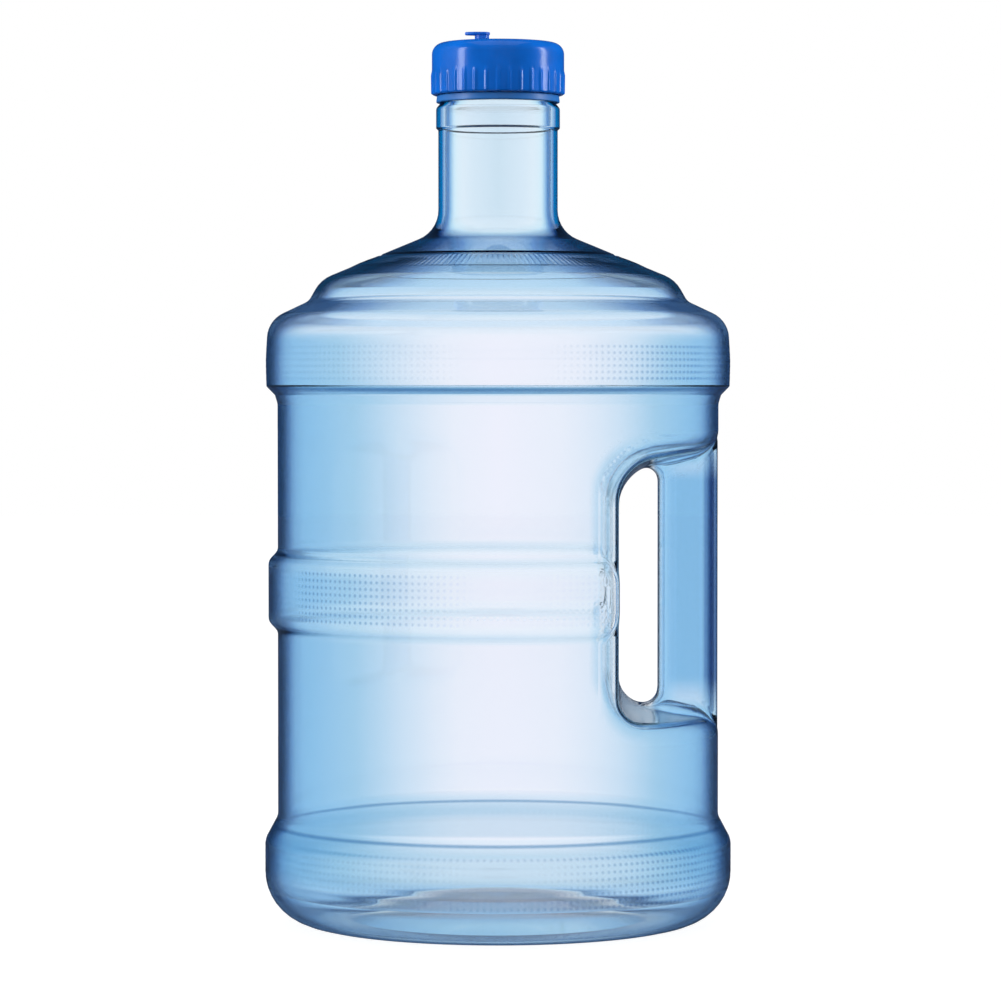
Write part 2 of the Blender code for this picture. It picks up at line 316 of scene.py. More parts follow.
def add_object(name, mesh, material=None, sharp=None):
    obj = bpy.data.objects.new(name, mesh)
    bpy.context.scene.collection.objects.link(obj)
    if material:
        mesh.materials.append(material)
    mesh.shade_smooth()
    if sharp:
        mesh.set_sharp_from_angle(angle=sharp)
    return obj


def carve(obj, operation, cutter):
    """Cuts or joins another object into this one for good, and removes the other."""
    modifier = obj.modifiers.new(operation, "BOOLEAN")
    modifier.operation = operation
    modifier.object = cutter
    modifier.solver = "EXACT"
    graph = bpy.context.evaluated_depsgraph_get()
    mesh = bpy.data.meshes.new_from_object(obj.evaluated_get(graph))
    obj.modifiers.clear()
    obj.data = mesh
    bpy.data.objects.remove(cutter)


def turned(name, corners, columns, material, sharp=None):
    """A turned piece from a closed outline that runs down its outer side."""
    points = loop(corners)
    skin = Skin()
    rings = [skin.ring(point.x, point.y, columns) for point in points]
    skin.chain([*rings, rings[0]])
    return skin.object(name, material, sharp)


# The handle's stretch, as distance fields


def round_union(a, b, radius):
    """Two solids in one, with a fillet of this radius where they meet."""
    corner = np.hypot(np.maximum(radius - a, 0), np.maximum(radius - b, 0))
    return np.maximum(radius, np.minimum(a, b)) - corner


def round_common(a, b, radius):
    """What two solids share, with the edge rounded to this radius."""
    corner = np.hypot(np.maximum(radius + a, 0), np.maximum(radius + b, 0))
    return np.minimum(-radius, np.maximum(a, b)) + corner


def middle_band(x, z, r):
    """The raised middle band, which stops at the notch with rounded ends."""
    low, high = MIDDLE_BAND
    end = (x - BAND_END_X + 1.5 * MM) / 0.84
    across = np.abs(z - (low + high) / 2) - (high - low) / 2
    face = round_common(end, across, BAND_CORNER)
    return round_common(r - MIDDLE_RADIUS, face, BAND_EDGE_FILLET)


def notch(x, y, z):
    """The notch round the handle: a wall, a floor and a roof, all with draft along Y."""
    side = np.sqrt(y**2 + (6 * MM) ** 2)
    wall = NOTCH_WALL_X - NOTCH_WALL_DRAFT * side - x
    floor = FLOOR_Z - FLOOR_FALL * (x - NOTCH_WALL_X) - NOTCH_DRAFT * side - z
    roof = z - ROOF_Z - ROOF_RISE * (x - NOTCH_WALL_X) - NOTCH_DRAFT * side
    return round_common(round_common(wall, floor, NOTCH_FLOOR_FILLET), roof, NOTCH_ROOF_FILLET)


def grip(x, y, z):
    """The grip's column: a rounded oblong, flatter on its outer side."""
    inner, outer = GRIP_X
    dx = np.abs(x - (inner + outer) / 2) - (outer - inner) / 2 + GRIP_CORNER
    dy = np.abs(y) - GRIP_HALF_WIDTH + GRIP_CORNER
    column = np.hypot(np.maximum(dx, 0), np.maximum(dy, 0)) - GRIP_CORNER
    column += np.minimum(np.maximum(dx, dy), 0)
    low, high = ZONE
    height = np.abs(z - (low + high) / 2) - (high - low) / 2 + 5 * MM
    return np.maximum(column, height)


def handle_field(points):
    """Distance to the bottle's outside in the handle's stretch. It is negative inside."""
    x, y, z = points[..., 0], points[..., 1], points[..., 2]
    r = np.hypot(x, y)
    tube = r - WALL_RADIUS
    body = round_common(tube, -notch(x, y, z), NOTCH_EDGE_FILLET)
    outwards = np.clip((r - 92 * MM) / (9 * MM), 0, 1)
    reach = GRIP_FILLET + (GRIP_OUTER_FILLET - GRIP_FILLET) * outwards
    body = np.maximum(round_union(body, grip(x, y, z), reach), tube)
    return round_union(body, middle_band(x, z, r), BAND_FOOT_FILLET)


def slopes(field, points):
    """The field's value and its gradient at some points."""
    reach = 0.02 * MM
    value = field(points)
    gradient = np.stack([
        (field(points + step) - field(points - step)) / (2 * reach)
        for step in np.eye(3) * reach
    ], axis=-1)
    return value, gradient


def zone_angles(gap):
    """Column angles: close together over the handle's side and wider behind it."""
    half = radians(66)
    near = np.linspace(-half, half, round(124 / gap) + 1)
    far = np.linspace(half, TURN - half, round(76 / gap) + 1)[1:-1]
    return np.concatenate([near, far])


def zone_heights(gap):
    """Row heights: close together at the notch's floor and roof and at the band's edges."""
    edges = [
        (ZONE[0], 1.7), (107 * MM, 3.2), (133 * MM, 1.0), (145 * MM, 3.8), (162 * MM, 1.0),
        (174 * MM, 3.4), (201 * MM, 1.7), (ZONE[1], 0),
    ]
    rows = [ZONE[0]]
    for (low, step), (high, _) in zip(edges, edges[1:]):
        count = round((high - low) / (gap * step * MM))
        rows += list(np.linspace(low, high, count + 1)[1:])
    return np.array(rows)


def polygonise(level, gap):
    """The handle stretch's surface at one level of its field, by surface nets.

    Each grid cell that the surface crosses gets one point, and each grid edge that it crosses
    gets one face. The points are then moved onto the surface along the field's gradient.
    """
    radii = np.linspace(44 * MM, 109.3 * MM, 37)
    angles, heights = zone_angles(gap), zone_heights(gap)
    gaps = np.diff(np.append(angles, angles[0] + TURN))
    r, a, z = np.meshgrid(radii, angles, heights, indexing="ij")
    grid = np.stack([r * np.cos(a), r * np.sin(a), z], axis=-1)
    values = handle_field(grid) - level
    inside = values < 0
    cells = (len(radii) - 1, len(angles), len(heights) - 1)
    total = np.zeros((*cells, 3))
    hits = np.zeros(cells)
    quads = []
    for axis in range(3):
        ahead = np.roll(values, -1, axis=axis)
        crossed = inside != np.roll(inside, -1, axis=axis)
        if axis != 1:
            last = [slice(None)] * 3
            last[axis] = -1
            crossed[tuple(last)] = False
        i, j, k = np.nonzero(crossed)
        share = values[i, j, k] / (values[i, j, k] - ahead[i, j, k])
        steps = np.zeros((3, len(i)))
        steps[axis] = share
        others = [n for n in range(3) if n != axis]
        around = []
        for back_a, back_b in ((0, 0), (1, 0), (1, 1), (0, 1)):
            back = [0, 0, 0]
            back[others[0]], back[others[1]] = back_a, back_b
            ci, cj, ck = i - back[0], (j - back[1]) % cells[1], k - back[2]
            good = (ci >= 0) & (ci < cells[0]) & (ck >= 0) & (ck < cells[2])
            spots = np.stack([back[n] + steps[n] for n in range(3)], axis=-1)
            np.add.at(total, (ci[good], cj[good], ck[good]), spots[good])
            np.add.at(hits, (ci[good], cj[good], ck[good]), 1)
            number = np.where(good, (ci * cells[1] + cj) * cells[2] + ck, -1)
            around.append(number)
        faces = np.stack(around, axis=-1)
        flip = inside[i, j, k] ^ (axis == 1) ^ (level < 0)
        faces[flip] = faces[flip][:, ::-1]
        quads.append(faces[(faces >= 0).all(axis=1)])
    quads = np.concatenate(quads)
    used, quads = np.unique(quads, return_inverse=True)
    quads = quads.reshape(-1, 4)
    ci, cj, ck = np.unravel_index(used, cells)
    spot = total[ci, cj, ck] / hits[ci, cj, ck][:, None]
    pr = radii[ci] + spot[:, 0] * (radii[1] - radii[0])
    pa = angles[cj] + spot[:, 1] * gaps[cj]
    pz = heights[ck] + spot[:, 2] * np.diff(heights)[ck]
    points = np.stack([pr * np.cos(pa), pr * np.sin(pa), pz], axis=-1)
    open_end = (ck == 0) | (ck == cells[2] - 1)
    for _ in range(4):
        value, gradient = slopes(handle_field, points)
        length = np.maximum((gradient**2).sum(axis=1), 0.05)
        move = gradient * ((value - level) / length)[:, None]
        move[open_end, 2] = 0
        points -= move
    rings = []
    for row in (cells[2] - 1, 0):
        numbers = np.nonzero(ck == row)[0]
        turn = np.arctan2(points[numbers, 1], points[numbers, 0]) % TURN
        order = np.argsort(turn)
        rings.append(Ring(numbers[order], turn[order]))
    _, gradient = slopes(handle_field, points)
    return points, -gradient if level < 0 else gradient, quads, rings


# The bottle


def upper_corners():
    """Corners of the bottle's outside from under the collar down to the handle's stretch."""
    return [
        (NECK_RADIUS, COLLAR_LOW_Z - 1.6 * MM, 0),
        (NECK_RADIUS, 318.9 * MM, 14.5 * MM),
        (81.7 * MM, 296.4 * MM, 15 * MM),
        (87.2 * MM, 286.6 * MM, 6 * MM),
        (UPPER_RADIUS - 1.0 * MM, 277.7 * MM, 13 * MM),
        (UPPER_RADIUS, 259 * MM, 60 * MM),
        (UPPER_RADIUS - 0.3 * MM, 247.4 * MM, 1.2 * MM),
        (WALL_RADIUS + 1.2 * MM, 243.4 * MM, 1.0 * MM),
        (WALL_RADIUS, 239.5 * MM, 6 * MM),
        (WALL_RADIUS, ZONE[1], 0),
    ]


def lower_corners():
    """Corners of the bottle's outside from the handle's stretch down to its foot."""
    return [
        (WALL_RADIUS, ZONE[0], 0),
        (WALL_RADIUS, 49.6 * MM, 7 * MM),
        (WALL_RADIUS + 1.6 * MM, 46.6 * MM, 1.0 * MM),
        (BASE_RADIUS, 38.6 * MM, 8 * MM),
        (BASE_RADIUS, FOOT_Z, 24 * MM),
        (FOOT_INNER, FOOT_Z, 3 * MM),
        (55 * MM, 5.6 * MM, 60 * MM),
        (26 * MM, 10.4 * MM, 90 * MM),
        (0, 10.8 * MM, 0),
    ]


def finish_corners():
    """Corners of the neck finish, from inside the bore over the rim and down the collar."""
    return [
        (BORE_RADIUS, RIM_Z - 8 * MM, 0),
        (BORE_RADIUS, RIM_Z, 0.7 * MM),
        (THREAD_ROOT, RIM_Z, 0.7 * MM),
        (THREAD_ROOT, BEAD_Z + 0.9 * MM, 0.3 * MM),
        (THREAD_ROOT + 0.9 * MM, BEAD_Z, 0.4 * MM),
        (THREAD_ROOT, BEAD_Z - 0.9 * MM, 0.3 * MM),
        (THREAD_ROOT, COLLAR_TOP_Z + 0.4 * MM, 0.3 * MM),
        (COLLAR_RADIUS, COLLAR_TOP_Z - 2.0 * MM, 2.0 * MM),
        (COLLAR_RADIUS, COLLAR_LOW_Z, 0.7 * MM),
        (NECK_RADIUS, COLLAR_LOW_Z - 0.8 * MM, 0.5 * MM),
        (NECK_RADIUS, COLLAR_LOW_Z - 1.6 * MM, 0),
    ]


def thread_relief(angles, z, first_z, turn, foot, height, offset=0.0):
    """How far a three-start thread stands out at one height, for each angle."""
    relief = np.zeros_like(angles)
    for start in range(THREAD_STARTS):
        travelled = (angles / TURN - (start + THREAD_PHASE) / THREAD_STARTS + offset) % 1
        along = travelled / turn
        rise = first_z + THREAD_LEAD * travelled
        fade = np.clip(np.minimum(along, 1 - along) * 9, 0, 1)
        flank = np.clip((foot / 2 - np.abs(z - rise)) / (foot * 0.3), 0, 1)
        relief = np.maximum(relief, np.where(along < 1, flank * fade * height, 0))
    return relief


def dotted_rows(skin, points, low, high, rows, columns, relief):
    """Rings down an outline where each second point of each second ring is a raised dot."""
    heights = np.array([point.y for point in points])
    radii = np.array([point.x for point in points])
    rings = []
    for i in range(2 * rows + 1):
        z = high + (low - high) * i / (2 * rows)
        radius = np.interp(z, heights[::-1], radii[::-1])
        raised = relief * (i % 2) * (np.arange(columns) % 2)
        rings.append(skin.ring(radius + raised, z, columns))
    return rings


def plain_rows(skin, points, columns):
    return [skin.ring(point.x, point.y, columns) for point in points]


def neck_rows(skin, sizes):
    """The bore's top, the rim, the thread, the bead and the collar."""
    points = outline(finish_corners(), radians(18), 1.3 * MM)
    columns = sizes.neck_columns
    angles = np.arange(columns) * TURN / columns
    rings = []
    for point in points:
        on_root = abs(point.x - THREAD_ROOT) < 0.02 * MM and point.y > BEAD_Z + MM
        relief = 0.0
        if on_root:
            relief = thread_relief(angles, point.y, THREAD_Z, 0.56, 2.0 * MM, 1.1 * MM)
        rings.append(skin.ring(point.x + relief, point.y, columns))
    return rings


def shoulder_rows(skin, sizes):
    """From the neck over the shoulder and the dotted upper band to the handle's stretch."""
    points = outline(upper_corners(), radians(9), 9 * MM)[1:]
    seam_z, hatch_low = SEAM_Z, SEAM_Z - 6.4 * MM
    dots_low, dots_high = UPPER_DOTS
    rings = []
    rings += plain_rows(skin, [p for p in points if p.y > seam_z], sizes.columns)
    rings += hatched_rows(skin, points, hatch_low, seam_z)
    rings += plain_rows(skin, [p for p in points if dots_high < p.y < hatch_low], sizes.columns)
    rings += dotted_rows(
        skin, points, dots_low, dots_high, UPPER_ROWS, 2 * sizes.upper_dots, sizes.dot_height
    )
    rings += plain_rows(skin, [p for p in points if p.y < dots_low], sizes.columns)
    return rings


def hatched_rows(skin, points, low, high):
    """A fine groove round the shoulder, and the short radial strokes under it."""
    heights = np.array([point.y for point in points])
    radii = np.array([point.x for point in points])
    columns, strokes = 480, 160
    angles = np.arange(columns)
    rings = []
    ridge = [(0.0, 0.0), (0.3, -0.35), (0.7, -0.35), (1.0, 0.0)]
    for down, out in ridge:
        z = high - down * MM
        radius = np.interp(z, heights[::-1], radii[::-1])
        rings.append(skin.ring(radius, z + out * MM, columns))
    for share in (0.0, 0.25, 0.6, 1.0):
        z = high - 1.6 * MM + share * (low - high + 1.6 * MM)
        radius = np.interp(z, heights[::-1], radii[::-1])
        stroke = 0.28 * MM * sin(pi * share) * (angles % (columns // strokes) == 0)
        rings.append(skin.ring(radius, z + stroke, columns))
    return rings


def base_rows(skin, sizes):
    """From the handle's stretch over the dotted lower band and round the foot to the pole."""
    points = outline(lower_corners(), radians(9), 9 * MM)
    dots_low, dots_high = LOWER_DOTS
    outer = [p for p in points if p.x > FOOT_INNER + 12 * MM]
    rings = []
    rings += plain_rows(skin, [p for p in points if p.y > dots_high], sizes.columns)
    rings += dotted_rows(
        skin, outer, dots_low, dots_high, LOWER_ROWS, 2 * sizes.lower_dots, sizes.dot_height
    )
    below = [p for p in points if p.y < dots_low and p.x > 0]
    rings += plain_rows(skin, below, sizes.columns)
    rings.append(skin.pole(points[-1].y))
    return rings


def inner_rows(skin, corners, columns):
    """Rings of the cavity, from the bottom of an outline up."""
    points = outline(corners, radians(12), 12 * MM)
    rings = [skin.ring(p.x, p.y, columns) if p.x > 0 else skin.pole(p.y) for p in points]
    return rings[::-1]


def build_bottle(sizes, material):
    """The bottle's one skin, outside and inside."""
    skin = Skin()
    top = neck_rows(skin, sizes) + shoulder_rows(skin, sizes)
    base = base_rows(skin, sizes)
    outer_top, outer_low = skin.patch(*polygonise(0.0, OUTER_GAP))
    skin.chain(top)
    skin.join(top[-1], outer_top)
    skin.join(outer_low, base[0])
    skin.chain(base)

    wall = sizes.wall
    cavity_base = inner_rows(skin, inset(lower_corners(), wall), sizes.inner_columns)
    shoulder = inset(upper_corners(), wall)
    shoulder[0] = (BORE_RADIUS, shoulder[0][1], 0)
    shoulder[1] = (BORE_RADIUS, shoulder[1][1], shoulder[1][2])
    cavity_top = inner_rows(skin, shoulder, sizes.inner_columns)
    inner_top, inner_low = skin.patch(*polygonise(-wall, INNER_GAP))
    skin.chain(cavity_base)
    skin.join(cavity_base[-1], inner_low)
    skin.join(inner_top, cavity_top[0])
    skin.chain(cavity_top)
    skin.join(cavity_top[-1], top[0])
    return skin.object("bottle_shell", material)


# The cap and its small parts


def build_cap(sizes, material):
    """The cap: a smooth crown, short ribs round the skirt, and the thread inside."""
    skin = Skin()
    top, low = CAP_HIGH.z, CAP_LOW.z
    skirt, edge = 30.45 * MM, 30.3 * MM
    rib_top = low + 11.4 * MM
    plate_low = top - 1.9 * MM
    bore = 28.3 * MM
    crown = outline(
        [(8 * MM, top, 0), (skirt, top - 0.2 * MM, sizes.cap_corner), (skirt, rib_top + 0.6 * MM, 0)],
        radians(7.5), 4 * MM,
    )
    fine = sizes.ribs * 12
    rings = [skin.pole(top)]
    rings += [skin.ring(p.x, p.y, 144) for p in crown[:-1]]
    ribbed = outline(
        [(skirt, rib_top + 0.6 * MM, 0), (edge, low, 1.0 * MM), (bore + 0.3 * MM, low, 0)],
        radians(15), 0.9 * MM,
    )
    phase = np.arange(fine) % 12
    across = np.minimum(phase, 12 - phase) * TURN / fine * skirt
    ridge = np.clip(1.15 - across / (0.95 * MM), 0, 1)
    ridge = ridge**2 * (3 - 2 * ridge)
    for point in ribbed:
        fade_up = np.clip((rib_top - point.y) / (2.2 * MM), 0, 1)
        fade_down = np.clip((point.y - low) / (0.8 * MM), 0, 1)
        on_skirt = point.x > edge - 0.3 * MM
        height = sizes.rib_height * fade_up * fade_down * on_skirt
        rings.append(skin.ring(point.x + ridge * height, point.y, fine))
    inside = outline(
        [(bore + 0.3 * MM, low, 0), (bore, low + 0.4 * MM, 0),
         (bore, plate_low, 1.0 * MM), (8 * MM, plate_low, 0)],
        radians(18), 0.7 * MM,
    )
    columns = 216
    angles = np.arange(columns) * TURN / columns
    pitch = THREAD_LEAD / THREAD_STARTS
    for point in inside:
        relief = 0.0
        if abs(point.x - bore) < 0.02 * MM:
            relief = thread_relief(angles, point.y, THREAD_Z - pitch / 2, 0.4, 1.8 * MM, 1.1 * MM)
        if point.x > 9 * MM:
            rings.append(skin.ring(point.x - relief, point.y, columns))
    rings += [skin.ring(8 * MM, plate_low, 72), skin.pole(plate_low)]
    skin.chain(rings)
    cap = skin.object("cap_shell", material)
    hole = turned_rod("vent_hole", VENT_X, [
        (0, top + MM, 0), (VENT_HOLE, top + MM, 0),
        (VENT_HOLE, plate_low - MM, 0), (0, plate_low - MM, 0),
    ])
    carve(cap, "DIFFERENCE", hole)
    cap.data.set_sharp_from_angle(angle=radians(40))
    return cap


def turned_rod(name, x, corners, material=None):
    """A turned solid whose axis is upright at x. Its outline runs from pole to pole."""
    skin = Skin()
    points = outline(corners, radians(15), 2 * MM)
    skin.chain([
        skin.ring(p.x, p.y, ROD_COLUMNS) if p.x > 0.5 * MM else skin.pole(p.y)
        for p in points if p.x > 0.5 * MM or p in (points[0], points[-1])
    ])
    skin.points = [(px + x, py, pz) for px, py, pz in skin.points]
    return skin.object(name, material)


def build_plug(material):
    """The vent plug: a shank, a shoulder, and a flat head drawn out into a lip."""
    head_top = PLUG_HIGH.z
    head_low = head_top - 1.3 * MM
    shoulder = CAP_HIGH.z + 0.1 * MM
    shank = VENT_HOLE - 0.3 * MM
    rod = turned_rod("vent_plug_body", VENT_X, [
        (0, head_low + 0.7 * MM, 0), (3.3 * MM, head_low + 0.7 * MM, 0),
        (3.3 * MM, shoulder, 0.3 * MM), (shank, shoulder, 0.2 * MM),
        (shank, PLUG_LOW.z, 1.1 * MM), (0, PLUG_LOW.z, 0),
    ], material)
    half = 3.7 * MM
    reach = VENT_X - PLUG_LOW.x - 0.1 * MM
    tip = 2.1 * MM
    flat = loop([
        (half, -half, half * 0.95), (half, half, half * 0.95), (-half, half, half * 0.6),
        (-reach, tip, tip * 0.95), (-reach, -tip, tip * 0.95), (-half, -half, half * 0.6),
    ])
    rings = []
    soft = 0.35 * MM
    levels = [(head_low, soft), (head_low + soft * 0.3, soft * 0.3), (head_low + soft, 0),
              (head_top - soft, 0), (head_top - soft * 0.3, soft * 0.3), (head_top, soft)]
    bm = bmesh.new()
    for z, pull in levels:
        ring = []
        for p in flat:
            reach_out = Vector((p.x + 1.5 * MM, p.y))
            pulled = p - reach_out.normalized() * pull
            ring.append(bm.verts.new((pulled.x + VENT_X, pulled.y, z)))
        rings.append(ring)
    for lower, upper in zip(rings, rings[1:]):
        for i, vert in enumerate(lower):
            j = (i + 1) % len(lower)
            bm.faces.new((vert, lower[j], upper[j], upper[i]))
    bm.faces.new(rings[0][::-1])
    bm.faces.new(rings[-1])
    bmesh.ops.recalc_face_normals(bm, faces=bm.faces)
    mesh = bpy.data.meshes.new("vent_plug_head")
    bm.to_mesh(mesh)
    bm.free()
    carve(rod, "UNION", add_object("vent_plug_head", mesh))
    rod.data.set_sharp_from_angle(angle=radians(40))
    return rod


def build_liner(material):
    """The sealing ring, with the mark that the rim has pressed into its underside."""
    top, low = LINER_HIGH.z, LINER_LOW.z
    outer, inner = LINER_HIGH.x, 22 * MM
    corners = [
        (inner, top, 0.4 * MM), (outer, top, 0.4 * MM), (outer, low, 0.4 * MM),
        (26.3 * MM, low, 0.1 * MM), (26.0 * MM, low + 0.2 * MM, 0.1 * MM),
        (24.9 * MM, low + 0.2 * MM, 0.1 * MM), (24.6 * MM, low, 0.1 * MM),
        (inner, low, 0.4 * MM),
    ]
    return turned("sealing_liner_ring", corners, 128, material, radians(40))


def build_tamper_ring(material):
    """The tamper ring, with the stubs of its broken bridges on top."""
    top, low = RING_HIGH.z, RING_LOW.z
    inside = THREAD_ROOT + 0.3 * MM
    outside = COLLAR_RADIUS - 0.4 * MM
    points = outline(
        [(inside, top, 0), (outside, top, 0.35 * MM), (COLLAR_RADIUS, low, 0.5 * MM),
         (inside, low, 0)],
        radians(15), 0.8 * MM,
    )
    columns, stubs = 288, 12
    on_stub = (np.arange(columns) % (columns // stubs)) < 3
    skin = Skin()
    rings = []
    for point in points:
        raised = on_stub * 0.22 * MM if top - point.y < 0.02 * MM else 0.0
        rings.append(skin.ring(point.x, point.y + raised, columns))
    skin.chain([*rings, rings[0]])
    return skin.object("tamper_ring_band", material, radians(40))


# Materials


class Signal:
    """A shader value that takes arithmetic. Each operator adds a Math node."""

    def __init__(self, graph, socket):
        self.graph = graph
        self.socket = socket

    def math(self, operation, *others):
        node = self.graph.node("ShaderNodeMath", {"operation": operation}, [self, *others])
        return Signal(self.graph, node.outputs[0])

    def __add__(self, other):
        return self.math("ADD", other)

    def __sub__(self, other):
        return self.math("SUBTRACT", other)

    def __mul__(self, other):
        return self.math("MULTIPLY", other)

    def __rsub__(self, other):
        return Signal(self.graph, self.graph.value(other)).math("SUBTRACT", self)

    def __pow__(self, other):
        return self.math("POWER", other)

    def __gt__(self, other):
        return self.math("GREATER_THAN", other)

    def __lt__(self, other):
        return self.math("LESS_THAN", other)

    __radd__ = __add__
    __rmul__ = __mul__


class Graph:
    """A material's or the world's node tree, with short ways to add to it."""

    def __init__(self, tree):
        self.tree = tree
        self.tree.nodes.clear()

    def node(self, kind, settings=None, inputs=None):
        """A node of a kind, its settings made first, then its sockets set or linked."""
        node = self.tree.nodes.new(kind)
        for name, value in (settings or {}).items():
            if name == "stops":
                set_stops(node.color_ramp, value)
            else:
                setattr(node, name, value)
        pairs = inputs.items() if isinstance(inputs, dict) else enumerate(inputs or [])
        for key, value in pairs:
            if isinstance(value, Signal):
                self.tree.links.new(value.socket, node.inputs[key])
            elif isinstance(value, bpy.types.NodeSocket):
                self.tree.links.new(value, node.inputs[key])
            else:
                node.inputs[key].default_value = value
        return node

    def value(self, number):
        node = self.tree.nodes.new("ShaderNodeValue")
        node.outputs[0].default_value = number
        return node.outputs[0]

    def signal(self, socket):
        return Signal(self, socket)

    def place(self):
        """The point's X, Y and Z in the jug's own frame, in metres."""
        coordinates = self.node("ShaderNodeTexCoord")
        split = self.node("ShaderNodeSeparateXYZ", None, [coordinates.outputs["Object"]])
        return [self.signal(output) for output in split.outputs]

    def noise(self, scale, detail=2.0):
        coordinates = self.node("ShaderNodeTexCoord")
        node = self.node(
            "ShaderNodeTexNoise", None,
            {"Vector": coordinates.outputs["Object"], "Scale": scale, "Detail": detail},
        )
        return self.signal(node.outputs[0])

    def ramp(self, factor, stops):
        node = self.node("ShaderNodeValToRGB", {"stops": stops}, [factor])
        return node.outputs[0]

    def mix(self, factor, one, other, blend="MIX"):
        settings = {"data_type": "RGBA", "blend_type": blend, "clamp_result": True}
        node = self.node("ShaderNodeMix", settings)
        self.fill(node.inputs[0], factor)
        self.fill(node.inputs[6], one)
        self.fill(node.inputs[7], other)
        return node.outputs[2]

    def dye(self, colour, share, tint):
        """A colour multiplied by a tint, as far as the share goes."""
        return self.mix(share, colour, self.mix(1.0, colour, (*tint, 1), "MULTIPLY"))

    def fill(self, socket, value):
        if isinstance(value, Signal):
            value = value.socket
        if isinstance(value, bpy.types.NodeSocket):
            self.tree.links.new(value, socket)
        else:
            socket.default_value = value

    def bump(self, height, distance, strength=1.0):
        node = self.node(
            "ShaderNodeBump", None,
            {"Height": height, "Distance": distance, "Strength": strength},
        )
        return node.outputs[0]


def set_stops(ramp, stops):
    while len(ramp.elements) > 1:
        ramp.elements.remove(ramp.elements[-1])
    ramp.elements[0].position = stops[0][0]
    ramp.elements[0].color = (*stops[0][1], 1)
    for position, colour in stops[1:]:
        ramp.elements.new(position).color = (*colour, 1)


def new_material(name):
    material = bpy.data.materials.new(name)
    material.use_nodes = True
    return material, Graph(material.node_tree)


def finish_material(graph, sockets, volume=None):
    shader = graph.node("ShaderNodeBsdfPrincipled", None, sockets)
    output = graph.node("ShaderNodeOutputMaterial", None, {"Surface": shader.outputs[0]})
    if volume:
        graph.tree.links.new(volume.outputs[0], output.inputs["Volume"])


def step_up(signal, low, high):
    """0 below low, 1 above high, and a straight rise between them."""
    node = signal.graph.node(
        "ShaderNodeMapRange", {"clamp": True},
        {"Value": signal, "From Min": low, "From Max": high},
    )
    return signal.graph.signal(node.outputs[0])


# What the clear wall leaves of the light, by how far it is turned away: 0 is face on, and 1 is
# edge on. The deeper blue towards edge on is partly the longer path through the wall and partly
# painted shade, and the near-black at the very edge is painted shade.
BODY_TINT_AND_SHADE = (
    (0.00, (0.93, 0.935, 0.98)),
    (0.20, (0.90, 0.925, 0.97)),
    (0.45, (0.72, 0.84, 0.93)),
    (0.66, (0.49, 0.72, 0.868)),
    (0.89, (0.45, 0.71, 0.92)),
    (0.932, (0.36, 0.59, 0.83)),
    (0.954, (0.14, 0.30, 0.56)),
    (0.971, (0.02, 0.08, 0.26)),
    (0.983, (0.001, 0.005, 0.03)),
)
SHOULDER_TINT_AND_SHADE = (
    (0.45, (0.80, 0.89, 0.95)),
    (0.70, (0.70, 0.84, 0.94)),
    (0.90, (0.58, 0.78, 0.93)),
    (0.925, (0.46, 0.68, 0.87)),
    (0.945, (0.16, 0.31, 0.60)),
    (0.960, (0.01, 0.04, 0.14)),
    (0.975, (0.0, 0.003, 0.015)),
)
LIP_TINT_AND_SHADE = (
    (0.00, (0.93, 0.95, 0.98)),
    (0.86, (0.82, 0.90, 0.965)),
    (0.92, (0.56, 0.76, 0.92)),
    (0.95, (0.16, 0.31, 0.58)),
    (0.972, (0.01, 0.04, 0.14)),
)
# Painted highlight: the neck's sides are lighter than its middle, and its edges get painted shade.
NECK_TINT_SHADE_AND_HIGHLIGHT = (
    (0.00, (0.80, 0.885, 0.935)),
    (0.45, (0.86, 0.925, 0.965)),
    (0.66, (0.92, 0.965, 0.985)),
    (0.79, (0.80, 0.95, 0.99)),
    (0.83, (0.62, 0.86, 0.97)),
    (0.89, (0.12, 0.34, 0.70)),
    (0.93, (0.0, 0.05, 0.32)),
    (1.00, (0.0, 0.01, 0.10)),
)
# The grip's deeper blue, with a painted highlight on its lighter stretch towards edge on and painted
# shade at the edge.
GRIP_TINT_SHADE_AND_HIGHLIGHT = (
    (0.00, (0.48, 0.70, 0.87)),
    (0.50, (0.50, 0.72, 0.89)),
    (0.85, (0.64, 0.86, 0.97)),
    (0.96, (0.40, 0.62, 0.84)),
    (1.00, (0.12, 0.26, 0.50)),
)
# Lighter than the body's ramp at middle turns, a painted highlight, and dark at the edge, painted
# shade; used on the foot and on the middle band's flanks.
FOOT_TINT_SHADE_AND_HIGHLIGHT = (
    (0.00, (0.91, 0.955, 0.985)),
    (0.50, (0.87, 0.935, 0.975)),
    (0.70, (0.72, 0.86, 0.93)),
    (0.88, (0.42, 0.66, 0.86)),
    (0.94, (0.14, 0.32, 0.58)),
    (0.975, (0.01, 0.04, 0.14)),
)


# Where those tints change over, and the places that have a tint of their own.
SHOULDER_START = (281 * MM, 287 * MM)
NECK_START = (308 * MM, 322 * MM)
FOOT_END = (16 * MM, 26 * MM)
UPPER_BAND = (251 * MM, 279 * MM)
LIP = (271.5 * MM, 288 * MM)
BASE_SPAN = (26 * MM, 44.5 * MM)
GRIP_SPAN = (104 * MM, 213 * MM)
NOTCH_SPAN = (92 * MM, 214 * MM)
NOTCH_MIDDLE = (108 * MM, 198 * MM)
NOTCH_WALL_SPAN = (49.5 * MM, 71 * MM)
NOTCH_TINT = (0.90, 0.95, 0.985, 1)
# How much less turned away the wall counts on the handle's side, painted light that makes that side
# lighter, and in the upper band.
PAINTED_LIGHT_SIDE = 0.11
UPPER_BAND_LIFT = 0.04


def band_share(z, low, high, soft):
    """1 between two heights, and 0 above and below them."""
    return step_up(z, low - soft, low + soft) * (1 - step_up(z, high - soft, high + soft))


